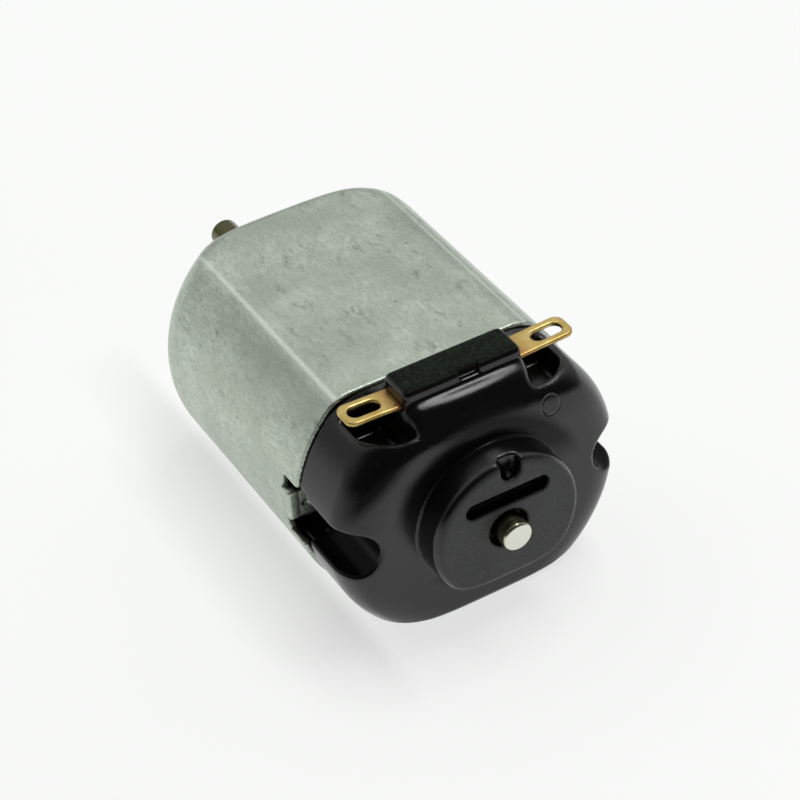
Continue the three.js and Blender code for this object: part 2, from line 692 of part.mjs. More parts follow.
const rearBearingRear = REAR_BOSS_FACE + REAR_SHAFT_HOLE_DEPTH + FIXED_GAP;
const rearBearingFront = rearBearingRear + BEARING_LENGTH;
const frontBearingFront = CAN_LENGTH + FRONT_BOSS_HEIGHT - CAN_WALL - FIXED_GAP;
const frontBearingRear = frontBearingFront - BEARING_LENGTH;
const spacerRear = STACK_FRONT + INSULATOR_THICKNESS + FIXED_GAP;
const frontWasherRear = frontBearingRear - WASHER.play - WASHER.thickness;
const rearWasherRear = rearBearingFront + WASHER.play;

add('can', canGeometry(), steelZinc);
add('end_bell', endBellGeometry(), blackPlastic);
add('front_bearing', bearingGeometry(frontBearingRear), bronze);
add('rear_bearing', bearingGeometry(rearBearingRear), bronze);

for (const [name, side] of [['right', 1], ['left', -1]]) {
  add(`magnet_${name}`, magnetGeometry(side), ferrite);
  add(`terminal_${name}`, terminalGeometry(side), brass);
  add(`brush_arm_${name}`, brushArmGeometry(side), copper);
  add(`brush_${name}`, brushGeometry(side), graphite);
}
add('magnet_spring_top', magnetSpringGeometry(1), springSteel);
add('magnet_spring_bottom', magnetSpringGeometry(-1), springSteel);

add('shaft', shaftGeometry(), polishedSteel);
for (let number = 0; number < LAMINATION_COUNT; number += 1) {
  const label = String(number + 1).padStart(2, '0');
  add(`lamination_${label}`, laminationGeometry(number), siliconSteel);
}
add('insulator_rear', insulatorGeometry(STACK_REAR - INSULATOR_THICKNESS), redFibre);
add('insulator_front', insulatorGeometry(STACK_FRONT), redFibre);
for (let number = 0; number < POLE_COUNT; number += 1) {
  add(`coil_${number + 1}`, coilGeometry(number), copper);
  add(`commutator_segment_${number + 1}`, commutatorSegmentGeometry(number), copper);
}
add('commutator_hub', commutatorHubGeometry(), brownPhenolic);
add('commutator_ring', commutatorRingGeometry(), brownPhenolic);
add('shaft_spacer', spacerGeometry(spacerRear, frontWasherRear - FIXED_GAP), whiteNylon);
add('thrust_washer_front', washerGeometry(frontWasherRear), whiteNylon);
add('thrust_washer_rear', washerGeometry(rearWasherRear), whiteNylon);

export default motor;
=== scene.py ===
"""Looks for a small flat-sided DC motor: smooth visible pieces, materials, light and camera.

The can and the end bell are distance fields turned into meshes, so that every edge is rounded.
Lengths are in millimetres in the motor's own axes until a mesh is made: x across, y from the can's
open rim towards the output end, z up from the shaft's axis.
"""

import json
import math

import bpy
import numpy as np
from mathutils import Matrix, Vector


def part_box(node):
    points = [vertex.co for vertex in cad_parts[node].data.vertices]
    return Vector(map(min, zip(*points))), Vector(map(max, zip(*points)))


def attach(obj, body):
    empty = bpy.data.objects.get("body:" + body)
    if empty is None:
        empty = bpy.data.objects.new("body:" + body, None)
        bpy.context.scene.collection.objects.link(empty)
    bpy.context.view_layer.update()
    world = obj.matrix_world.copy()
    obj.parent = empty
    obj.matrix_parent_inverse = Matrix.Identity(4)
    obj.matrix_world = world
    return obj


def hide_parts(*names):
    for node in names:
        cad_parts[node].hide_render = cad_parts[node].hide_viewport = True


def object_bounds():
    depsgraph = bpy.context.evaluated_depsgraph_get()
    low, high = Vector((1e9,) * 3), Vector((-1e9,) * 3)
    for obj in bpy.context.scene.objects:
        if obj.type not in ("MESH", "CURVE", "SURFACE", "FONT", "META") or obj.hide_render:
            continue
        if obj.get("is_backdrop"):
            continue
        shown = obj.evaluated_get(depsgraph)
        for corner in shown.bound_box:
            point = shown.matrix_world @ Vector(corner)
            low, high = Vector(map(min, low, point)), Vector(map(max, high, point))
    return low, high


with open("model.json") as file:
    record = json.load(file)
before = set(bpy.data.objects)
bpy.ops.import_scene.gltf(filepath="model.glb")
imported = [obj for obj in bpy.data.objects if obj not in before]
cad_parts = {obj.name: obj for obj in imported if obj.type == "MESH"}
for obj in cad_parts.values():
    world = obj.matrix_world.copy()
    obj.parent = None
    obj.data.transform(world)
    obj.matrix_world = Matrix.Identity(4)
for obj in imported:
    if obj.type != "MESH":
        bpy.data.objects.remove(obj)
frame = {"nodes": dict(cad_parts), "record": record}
cad_low, cad_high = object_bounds()

MM = 0.001
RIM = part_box("can")[0].y
AXIS = sum(corner.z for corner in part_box("shaft")) / 2
SHAFT_REAR = (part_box("shaft")[0].y - RIM) / MM
SHAFT_FRONT = (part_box("shaft")[1].y - RIM) / MM

# Can
BODY_RADIUS = 10.05
BODY_HALF_HEIGHT = 7.55
CAN_LENGTH = 19.6
CAN_WALL = 0.5
CAN_SIDE_EDGE = 3.2
CAN_FLAT_EDGE = 1.1
CAN_CORNER = 0.6
FRONT_BOSS_RADIUS = 3.075
FRONT_BOSS_FACE = 21.2
BEARING_SEAT_RADIUS = 2.52
FRONT_HOLE_RADIUS = 1.7
FRONT_HOLE_START = 15
CREASE_X = 6.62
RIM_EDGE = 0.14
STAMPED_EDGE = 0.12
FRONT_BOSS_FILLET = 0.4
CAN_SPACE = ((-10.4, -1.2, -7.9), (10.4, 21.6, 7.9))

# Openings in the rim, and the tabs bent in through them
NOTCH_LOW, NOTCH_HIGH = -2.6, 2.0
NOTCH_DEPTH = 1.7
NOTCH_FLOOR = 7.9
TAB_LOW, TAB_HIGH = -1.1, 1.0
TAB_LENGTH = 1.75
TAB_BEND = math.radians(82)
TAB_EDGE = 0.1
TAB_MARK_ALONG, TAB_MARK_HEIGHT = 0.95, -0.05
TAB_MARK_RADIUS, TAB_MARK_DEPTH = 0.26, 0.12

# End bell
BELL_RADIUS = 9.92
BELL_HALF_HEIGHT = 7.48
BELL_FACE = -6.25
BELL_FRONT = -0.12
BELL_LEAN_START = 4.2
BELL_LEAN = 0.05
BELL_SIDE_EDGE = 2.6
BELL_BOTTOM_EDGE = 2.3
BELL_BOTTOM_LEAN = 5.0
BELL_TOP_EDGE = 1.8
BELL_CORNER = 1.0
PLUG_INSET = 0.6
PLUG_END = 3.0
PLUG_EDGES = (0.2, 0.2, 0.2)
CAVITY_RADIUS = 5.9
CAVITY_HALF_HEIGHT = 5.4
CAVITY_FLOOR = -4.9
CAVITY_EDGES = (0.4, 0.4, 0.4)
CAVITY_CORNER = 0.3
BOSS_RADIUS = 5.05
BOSS_FLAT = 4.0
BOSS_FACE = -8.15
BOSS_EDGE = 0.55
BOSS_FILLET = 0.16
GATE_X, GATE_Z, GATE_RADIUS = 0.3, 4.3, 0.68
BOSS_SLOT_HALF = 2.32
BOSS_SLOT_HEIGHT = 2.37
BOSS_SLOT_RADIUS = 0.56
BOSS_SLOT_DEPTH = 0.75
SHAFT_HOLE_RADIUS = 1.35
SHAFT_HOLE_DEPTH = 1.0
BLOCK_HALF_WIDTH = 4.2
BLOCK_FRONT, BLOCK_REAR = -1.1, -3.75
BLOCK_TOP = 9.1
BLOCK_ROOT = 3.0
BLOCK_EDGE = 0.5
BLOCK_FILLET = 0.9
BLOCK_NOTCH_LOW, BLOCK_NOTCH_HIGH = -0.35, 1.05
BLOCK_NOTCH_FLOOR = 8.45
BLOCK_NOTCH_DEPTH = 0.4
RAMP_TOP = 8.2
RAMP_FACE = -5.0
RAMP_BOW = 0.5
RAMP_EDGE = 0.9
RAMP_SIDE_EDGE = 0.8
RAMP_FILLET = 0.4
POCKET_OUTER = 6.85
POCKET_INNER = 4.35
POCKET_REAR = -4.85
POCKET_FRONT = -1.0
POCKET_FLOOR = 5.0
POCKET_CORNER = 2.3
POCKET_LEAN = 0.34
POCKET_EDGE = 0.7
CHANNEL_X = 9.2
CHANNEL_Z = 0.2
CHANNEL_RADIUS = 1.65
CHANNEL_END = 2.2
CHANNEL_EDGE = 0.28
EJECTOR_X, EJECTOR_Z, EJECTOR_RADIUS = 4.6, 5.72, 0.65
BELL_SPACE = ((-10.3, -8.5, -7.9), (10.3, 3.3, 9.4))

# Terminals
STRIP_THICKNESS = 0.3
STRIP_FRONT, STRIP_REAR = -1.4, -3.4
STRIP_HEIGHT = 7.95
STRIP_LIFT = math.radians(4)
STRIP_BEND = 0.45
STRIP_SAG = 0.1
LEG_X = 3.45
LEG_END = 3.6
TIP_RIGHT, TIP_LEFT = 8.05, 7.6
TIP_CHAMFER = 0.36
TIP_TO_SLOT = 1.5
TIP_SLOT_HALF = 0.55
TIP_SLOT_RADIUS = 0.5
STRIP_GAP = 0.07
STRIP_EDGE = 0.09

# Shaft and bearings
SHAFT_RADIUS = 1.0
SHAFT_EDGE = 0.24
BEARING_BORE = 1.035
BEARING_EDGE = 0.15

# Mesh resolution
FINE_STEP = 0.15
STRIP_STEP = 0.075
ROUND_SEGMENTS = 96
SHARP_ANGLE = math.radians(35)

# Floor, light and camera
FLOOR_REACH = 8.0
FLOOR_GLOW = 0.77
FLOOR_PAINTED_SHADOW = 0.14
OVERHEAD_PLACE, OVERHEAD_SIZE, OVERHEAD_POWER = (0.22, 0.02, 0.56), (0.42, 0.11), 1.1
CREASE_PLACE, CREASE_SIZE, CREASE_POWER = (-0.11, 0.41, 0.42), (0.14, 0.14), 0.03
LAMP_AIM = (0, 0, 0.005)
TENT_WALL = (0.25, 0.97, 0.0)
TENT_DARK = 0.03
TENT_BRIGHT = 0.8
TENT_EDGE = 0.35
TENT_TOP = 0.7
TENT_LOW_SHARE, TENT_HIGH_SHARE = 0.42, 1.05
CAMERA_AZIMUTH = math.radians(-28.13)
CAMERA_ELEVATION = math.radians(39.44)
CAMERA_ROLL = math.radians(-4.11)
CAMERA_DISTANCE = 0.15614
CAMERA_ASIDE = 0.00173
CAMERA_ABOVE = -0.00087
CAMERA_LENS = 109.8
CAMERA_AIM_Y = 8


# Distance fields: negative inside, in millimetres


def both(a, b, radius):
    """Where a and b overlap, with the edge between them rounded."""
    corner = np.hypot(np.maximum(a + radius, 0), np.maximum(b + radius, 0))
    return np.minimum(-radius, np.maximum(a, b)) + corner


def either(a, b, radius):
    """a joined to b, with a fillet between them."""
    corner = np.hypot(np.maximum(radius - a, 0), np.maximum(radius - b, 0))
    return np.maximum(radius, np.minimum(a, b)) - corner


def cut(a, b, radius):
    """a without b, with the edge of the cut rounded."""
    return both(a, -b, radius)


def block(points, low, high, edge):
    """A box between two corners with rounded edges."""
    outside = []
    for value, start, end in zip(points, low, high):
        outside.append(np.abs(value - (start + end) / 2) - (end - start) / 2 + edge)
    x, y, z = outside
    beyond = np.sqrt(np.maximum(x, 0) ** 2 + np.maximum(y, 0) ** 2 + np.maximum(z, 0) ** 2)
    return beyond + np.minimum(np.maximum(np.maximum(x, y), z), 0) - edge


def rod(points, radius, centre=(0.0, 0.0)):
    """An endless cylinder along the motor's length."""
    x, _, z = points
    return np.hypot(x - centre[0], z - centre[1]) - radius


def flatted(points, radius, half_height, end, edges, corner, bottom_lean=1.0):
    """A flatted cylinder up to an end plane's distance; edges are its radii at sides, bottom and top.

    A bottom lean above 1 makes the bottom edge's rounding an ellipse that much shorter along y.
    """
    x, _, z = points
    side_edge, bottom_edge, top_edge = edges
    sides = both(np.hypot(x, z) - radius, end, side_edge)
    bottom = both(-z - half_height, end * bottom_lean, bottom_edge)
    top = both(z - half_height, end, top_edge)
    return both(sides, np.maximum(bottom, top), corner)


def strip_room(points, gap):
    """The space that a terminal's tab and leg take, on both sides, with a gap round them."""
    x, y, z = points
    across = np.abs(x)
    inner = LEG_X - STRIP_THICKNESS - gap
    low, high = STRIP_REAR - gap, STRIP_FRONT + gap
    half = STRIP_THICKNESS / 2 + gap
    leg_outer = LEG_X + half
    leg = block((across, y, z), (inner, low, LEG_END - 1), (leg_outer, high, STRIP_HEIGHT + half), 0.05)
    lifted = z - (across - BLOCK_HALF_WIDTH) * math.tan(STRIP_LIFT)
    tab_low, tab_high = (inner, low, STRIP_HEIGHT - half), (12, high, STRIP_HEIGHT + half)
    tab = block((across, y, lifted), tab_low, tab_high, 0.05)
    return np.minimum(leg, tab)


def tab_field(points):
    """The two tabs of the can's wall, bent in at the rim, each with a punch mark."""
    x, y, z = points
    root_x = BODY_RADIUS - CAN_WALL / 2 - 0.05
    root_y = NOTCH_DEPTH - 0.55
    across, along = np.abs(x) - root_x, y - root_y
    out = across * math.cos(TAB_BEND) - along * math.sin(TAB_BEND)
    down = -across * math.sin(TAB_BEND) - along * math.cos(TAB_BEND)
    half = CAN_WALL / 2
    plate = block((out, down, z), (-half, -0.15, TAB_LOW), (half, TAB_LENGTH, TAB_HIGH), TAB_EDGE)
    root = block((across, along, z), (-half, -0.2, TAB_LOW), (half, 0.9, TAB_HIGH), TAB_EDGE)
    place = np.hypot(down - TAB_MARK_ALONG, z - TAB_MARK_HEIGHT)
    mark = both(place - TAB_MARK_RADIUS, half - TAB_MARK_DEPTH - out, 0.08)
    return cut(either(plate, root, 0.25), mark, 0.04)


def can_field(points):
    """The drawn can: walls of one thickness, a closed front with its boss, and an open notched rim."""
    x, y, z = points
    edges = np.array([CAN_SIDE_EDGE, CAN_FLAT_EDGE, CAN_FLAT_EDGE])
    outer = flatted(points, BODY_RADIUS, BODY_HALF_HEIGHT, y - CAN_LENGTH, edges, CAN_CORNER)
    boss = both(rod(points, FRONT_BOSS_RADIUS), y - FRONT_BOSS_FACE, 0.4)
    boss = np.maximum(boss, CAN_LENGTH / 2 - y)
    outer = either(outer, boss, FRONT_BOSS_FILLET)
    inner = flatted(
        points,
        BODY_RADIUS - CAN_WALL,
        BODY_HALF_HEIGHT - CAN_WALL,
        y - CAN_LENGTH + CAN_WALL,
        edges - CAN_WALL,
        CAN_CORNER - CAN_WALL,
    )
    seat = both(rod(points, BEARING_SEAT_RADIUS), y - FRONT_BOSS_FACE + CAN_WALL, 0.1)
    hole = rod(points, FRONT_HOLE_RADIUS)
    shell = cut(outer, np.minimum(inner, seat), STAMPED_EDGE)
    shell = cut(shell, np.maximum(hole, FRONT_HOLE_START - y), STAMPED_EDGE)
    shell = both(shell, -y, RIM_EDGE)
    notch = block((np.abs(x), y, z), (NOTCH_FLOOR, -5, NOTCH_LOW), (15, NOTCH_DEPTH, NOTCH_HIGH), 0.3)
    shell = cut(shell, notch, STAMPED_EDGE)
    return either(shell, tab_field(points), 0.15)


def pocket_field(points):
    """The D-shaped solder pockets, under the tabs."""
    x, y, z = points
    across = np.abs(x)
    curve = both(across - POCKET_OUTER, POCKET_REAR - y, POCKET_CORNER)
    lean = POCKET_LEAN * np.maximum(BLOCK_REAR - y, 0)
    sides = both(curve, POCKET_INNER - lean - across, 0.25)
    sides = both(sides, y - POCKET_FRONT, 0.3)
    return both(sides, POCKET_FLOOR - z, 0.4)


def channel_field(points):
    """The rounded side channels, and a wider room for the can's tab at their inner end."""
    x, y, z = points
    mirrored = (np.abs(x), y, z)
    channel = both(rod(mirrored, CHANNEL_RADIUS, (CHANNEL_X, CHANNEL_Z)), y - CHANNEL_END, 0.3)
    room = block(mirrored, (NOTCH_FLOOR, -1.0, NOTCH_LOW), (15, CHANNEL_END, NOTCH_HIGH), 0.3)
    return np.minimum(channel, room)


def rear_boss_field(points):
    """The round boss with its flat below, its slot, and the moulding gate's notch at the top."""
    x, y, z = points
    section = both(rod(points, BOSS_RADIUS), -z - BOSS_FLAT, 1.0)
    boss = both(section, BOSS_FACE - y, BOSS_EDGE)
    along = x - np.clip(x, -BOSS_SLOT_HALF, BOSS_SLOT_HALF)
    slot = np.hypot(along, z - BOSS_SLOT_HEIGHT) - BOSS_SLOT_RADIUS
    boss = cut(boss, both(slot, y - BOSS_FACE - BOSS_SLOT_DEPTH, 0.2), 0.13)
    above = z - np.clip(z, GATE_Z, 7)
    scoop = np.hypot(x - GATE_X, above) - GATE_RADIUS
    boss = cut(boss, both(scoop, y - BOSS_FACE - BOSS_SLOT_DEPTH, 0.35), 0.2)
    nib = both(rod(points, 0.2, (GATE_X - 0.15, GATE_Z - 0.3)), BOSS_FACE + 0.1 - y, 0.15)
    return np.minimum(boss, np.maximum(nib, y + 6.5))


def flange_field(points):
    """The bell's round body with two flats, its face leaning back towards the top."""
    _, y, z = points
    edges = (BELL_SIDE_EDGE, BELL_BOTTOM_EDGE, BELL_TOP_EDGE)
    face = BELL_FACE + BELL_LEAN * np.maximum(z - BELL_LEAN_START, 0) ** 2 - y
    return flatted(points, BELL_RADIUS, BELL_HALF_HEIGHT, face, edges, BELL_CORNER, BELL_BOTTOM_LEAN)


def top_block_field(points):
    """The raised block between the solder tabs, on a bowed ramp, with a notch in its rear edge."""
    x, y, z = points
    low = (-BLOCK_HALF_WIDTH, BLOCK_REAR, BLOCK_ROOT)
    high = (BLOCK_HALF_WIDTH, BLOCK_FRONT, BLOCK_TOP)
    raised = block(points, low, high, BLOCK_EDGE)
    notch_low = (BLOCK_NOTCH_LOW, BELL_FACE, BLOCK_NOTCH_FLOOR)
    notch_high = (BLOCK_NOTCH_HIGH, BLOCK_REAR + BLOCK_NOTCH_DEPTH, BLOCK_TOP + 1)
    raised = cut(raised, block(points, notch_low, notch_high, 0.1), 0.06)
    bow = RAMP_BOW * np.minimum((x / BLOCK_HALF_WIDTH) ** 2, 1)
    ramp = both(z - RAMP_TOP, RAMP_FACE + bow - y, RAMP_EDGE)
    ramp = both(ramp, np.abs(x) - BLOCK_HALF_WIDTH, RAMP_SIDE_EDGE)
    ramp = np.maximum(np.maximum(ramp, y - BLOCK_FRONT), BLOCK_ROOT - z)
    return either(raised, ramp, RAMP_FILLET)


def plug_field(points):
    """The part of the bell that sits inside the can's rim."""
    _, y, _ = points
    radius, half_height = BODY_RADIUS - PLUG_INSET, BODY_HALF_HEIGHT - PLUG_INSET
    plug = flatted(points, radius, half_height, y - PLUG_END, PLUG_EDGES, CAN_CORNER)
    return np.maximum(plug, -1 - y)


def hollow_field(points):
    """The bell's inside: the room for the brushes, the rear bearing's seat and the shaft's hole."""
    _, y, _ = points
    cavity_end = CAVITY_FLOOR - y
    cavity = flatted(points, CAVITY_RADIUS, CAVITY_HALF_HEIGHT, cavity_end, CAVITY_EDGES, CAVITY_CORNER)
    seat = both(rod(points, BEARING_SEAT_RADIUS), BOSS_FACE + SHAFT_HOLE_DEPTH - y, 0.1)
    hole = rod(points, SHAFT_HOLE_RADIUS)
    return np.minimum(np.minimum(cavity, seat), hole)


def bell_field(points):
    """The whole end bell: its solid parts joined first, then its openings cut."""
    _, y, _ = points
    body = either(flange_field(points), top_block_field(points), BLOCK_FILLET)
    body = either(body, np.maximum(rear_boss_field(points), y + 5.5), BOSS_FILLET)
    body = both(body, y - BELL_FRONT, RIM_EDGE)
    body = np.minimum(body, plug_field(points))
    body = cut(body, pocket_field(points), POCKET_EDGE)
    body = cut(body, strip_room(points, STRIP_GAP), 0.1)
    body = cut(body, channel_field(points), CHANNEL_EDGE)
    return cut(body, hollow_field(points), 0.15)


def strip_field(points, slot_place, tip):
    """A terminal's strip laid out flat: x along the strip, y across it, z through its thickness."""
    x, y, z = points
    half_width = (STRIP_FRONT - STRIP_REAR) / 2
    outline = both(np.abs(y) - half_width, x - tip, 0.1)
    chamfer = (x - tip + np.abs(y) - half_width + TIP_CHAMFER) * math.sqrt(0.5)
    outline = both(np.maximum(outline, -x), chamfer, 0.15)
    along = x - slot_place - np.clip(x - slot_place, -TIP_SLOT_HALF, TIP_SLOT_HALF)
    slot = np.hypot(along, y) - TIP_SLOT_RADIUS
    outline = cut(outline, slot, 0.04)
    return both(outline, np.abs(z) - STRIP_THICKNESS / 2, STRIP_EDGE)


# Meshes


def slope(field, points):
    """The field's gradient, by central differences."""
    reach = 0.01
    parts = []
    for axis in range(3):
        ahead = [value.copy() for value in points]
        behind = [value.copy() for value in points]
        ahead[axis] += reach
        behind[axis] -= reach
        parts.append((field(ahead) - field(behind)) / (2 * reach))
    return parts


def settle(field, corners, rounds=4):
    """Moves corners on to the field's surface; returns them with their unit normals."""
    for _ in range(rounds):
        points = [corners[:, axis] for axis in range(3)]
        gradient = np.stack(slope(field, points), 1)
        length = np.maximum((gradient**2).sum(1), 0.2)
        move = np.clip(field(points) / length, -0.1, 0.1)
        corners = corners - gradient * move[:, None]
    points = [corners[:, axis] for axis in range(3)]
    gradient = np.stack(slope(field, points), 1)
    return corners, gradient / np.maximum(np.linalg.norm(gradient, axis=1), 1e-6)[:, None]


def surface(field, low, high, step):
    """Corners, normals and four-sided faces of a distance field's surface, by surface nets."""
    sides = [np.arange(start, end + step, step) for start, end in zip(low, high)]
    grid = np.meshgrid(*sides, indexing="ij")
    value = field(grid).astype(np.float64)
    inside = value < 0
    cells = tuple(size - 1 for size in value.shape)
    total = np.zeros((*cells, 3))
    count = np.zeros(cells)
    crossings = []
    for axis in range(3):
        near = [slice(None)] * 3
        far = [slice(None)] * 3
        near[axis], far[axis] = slice(None, -1), slice(1, None)
        start, end = value[tuple(near)], value[tuple(far)]
        place = np.argwhere(inside[tuple(near)] != inside[tuple(far)])
        index = tuple(place.T)
        share = start[index] / (start[index] - end[index])
        point = place.astype(float)
        point[:, axis] += share
        flip = inside[tuple(near)][index]
        crossings.append((axis, place, flip))
        for first in (0, 1):
            for second in (0, 1):
                cell = cell_beside(place, axis, first, second)
                np.add.at(total, tuple(cell.T), point)
                np.add.at(count, tuple(cell.T), 1)
    used = count > 0
    number = np.full(cells, -1)
    number[used] = np.arange(used.sum())
    corners = total[used] / count[used][:, None] * step + np.array(low)
    faces = []
    for axis, place, flip in crossings:
        ring = [cell_beside(place, axis, *pair) for pair in ((0, 0), (1, 0), (1, 1), (0, 1))]
        quad = np.stack([number[tuple(cell.T)] for cell in ring], 1)
        quad[~flip] = quad[~flip][:, ::-1]
        faces.append(quad)
    corners, normals = settle(field, corners)
    return corners, normals, np.concatenate(faces).tolist()


def cell_beside(place, axis, first, second):
    """The cell on one of the four sides of a grid edge."""
    cell = place.copy()
    cell[:, (axis + 1) % 3] -= first
    cell[:, (axis + 2) % 3] -= second
    return cell


def to_world(corners):
    """Motor millimetres to the frame's metres."""
    return corners * MM + np.array([0, RIM, AXIS])


def new_piece(name, corners, faces, material, body, stands_for):
    """A shown piece that rides on a CAD body in place of a CAD node."""
    mesh = bpy.data.meshes.new(name)
    mesh.from_pydata(to_world(np.asarray(corners, float)).tolist(), [], faces)
    mesh.update()
    mesh.shade_smooth()
    mesh.materials.append(material)
    piece = bpy.data.objects.new(name, mesh)
    bpy.context.scene.collection.objects.link(piece)
    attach(piece, body)
    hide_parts(stands_for)
    return piece


def moulded(name, field, low, high, material, slot, stands_for):
    """A piece from a distance field, shaded with the field's own normals."""
    corners, normals, faces = surface(field, low, high, FINE_STEP)
    piece = new_piece(name, corners, faces, material, "housing", stands_for)
    piece.data.normals_split_custom_set_from_vertices(normals.tolist())
    return piece


def terminal(name, side, tip, material, stands_for):
    """A solder tab: a flat strip with its slot, then bent down into the end bell."""
    leg = STRIP_HEIGHT - LEG_END - STRIP_BEND
    corner = STRIP_BEND * math.pi / 2
    tab = tip - LEG_X - STRIP_BEND
    length = leg + corner + tab

    def flat_field(points):
        return strip_field(points, length - TIP_TO_SLOT, length)

    low, high = (-0.2, -1.3, -0.35), (length + 0.2, 1.3, 0.35)
    flat, _, faces = surface(flat_field, low, high, STRIP_STEP)
    along, across, through = flat.T
    turn = np.clip((along - leg) / STRIP_BEND, 0, math.pi / 2)
    past = np.maximum(along - leg - corner, 0)
    x = LEG_X + STRIP_BEND - (STRIP_BEND + through) * np.cos(turn) + past
    z = LEG_END + np.minimum(along, leg) + (STRIP_BEND + through) * np.sin(turn)
    lift = np.maximum(x - BLOCK_HALF_WIDTH, 0)
    reach = tip - BLOCK_HALF_WIDTH
    z = z + lift * math.tan(STRIP_LIFT) - STRIP_SAG * (lift / reach) ** 2
    y = across + (STRIP_FRONT + STRIP_REAR) / 2
    corners = np.stack([side * x, y, z], 1)
    if side < 0:
        faces = [face[::-1] for face in faces]
    return new_piece(name, corners, faces, material, "housing", stands_for)


def rounded_rod_profile(radius, rear, front, edge):
    """[radius, y] points of a rod whose ends have rounded edges."""
    steps = [math.radians(angle) for angle in (0, 22.5, 45, 67.5, 90)]
    near = [(radius - edge * (1 - math.sin(a)), rear + edge * (1 - math.cos(a))) for a in steps]
    far = [(r, rear + front - y) for r, y in reversed(near)]
    return [(0, rear), *near, *far, (0, front)]


def sleeve_profile(inner, outer, rear, front, edge):
    """[radius, y] points of a sleeve with chamfered edges, closing on itself."""
    return [
        (inner, rear + edge),
        (inner + edge, rear),
        (outer - edge, rear),
        (outer, rear + edge),
        (outer, front - edge),
        (outer - edge, front),
        (inner + edge, front),
        (inner, front - edge),
        (inner, rear + edge),
    ]


def turned(name, profile, material, body, stands_for):
    """A piece turned about the shaft's axis, from [radius, y] points; 0 radius closes it."""
    angles = np.linspace(0, 2 * math.pi, ROUND_SEGMENTS, endpoint=False)
    corners, rings = [], []
    for radius, y in profile:
        steps = angles if radius > 0 else angles[:1]
        rings.append(range(len(corners), len(corners) + len(steps)))
        corners.extend([radius * math.cos(a), y, radius * math.sin(a)] for a in steps)
    faces = []
    for near, far in zip(rings, rings[1:]):
        for step in range(ROUND_SEGMENTS):
            following = (step + 1) % ROUND_SEGMENTS
            quad = [
                near[step % len(near)],
                far[step % len(far)],
                far[following % len(far)],
                near[following % len(near)],
            ]
            faces.append(list(dict.fromkeys(quad)))
    piece = new_piece(name, corners, faces, material, body, stands_for)
    piece.data.set_sharp_from_angle(angle=SHARP_ANGLE)
    return piece


# Materials


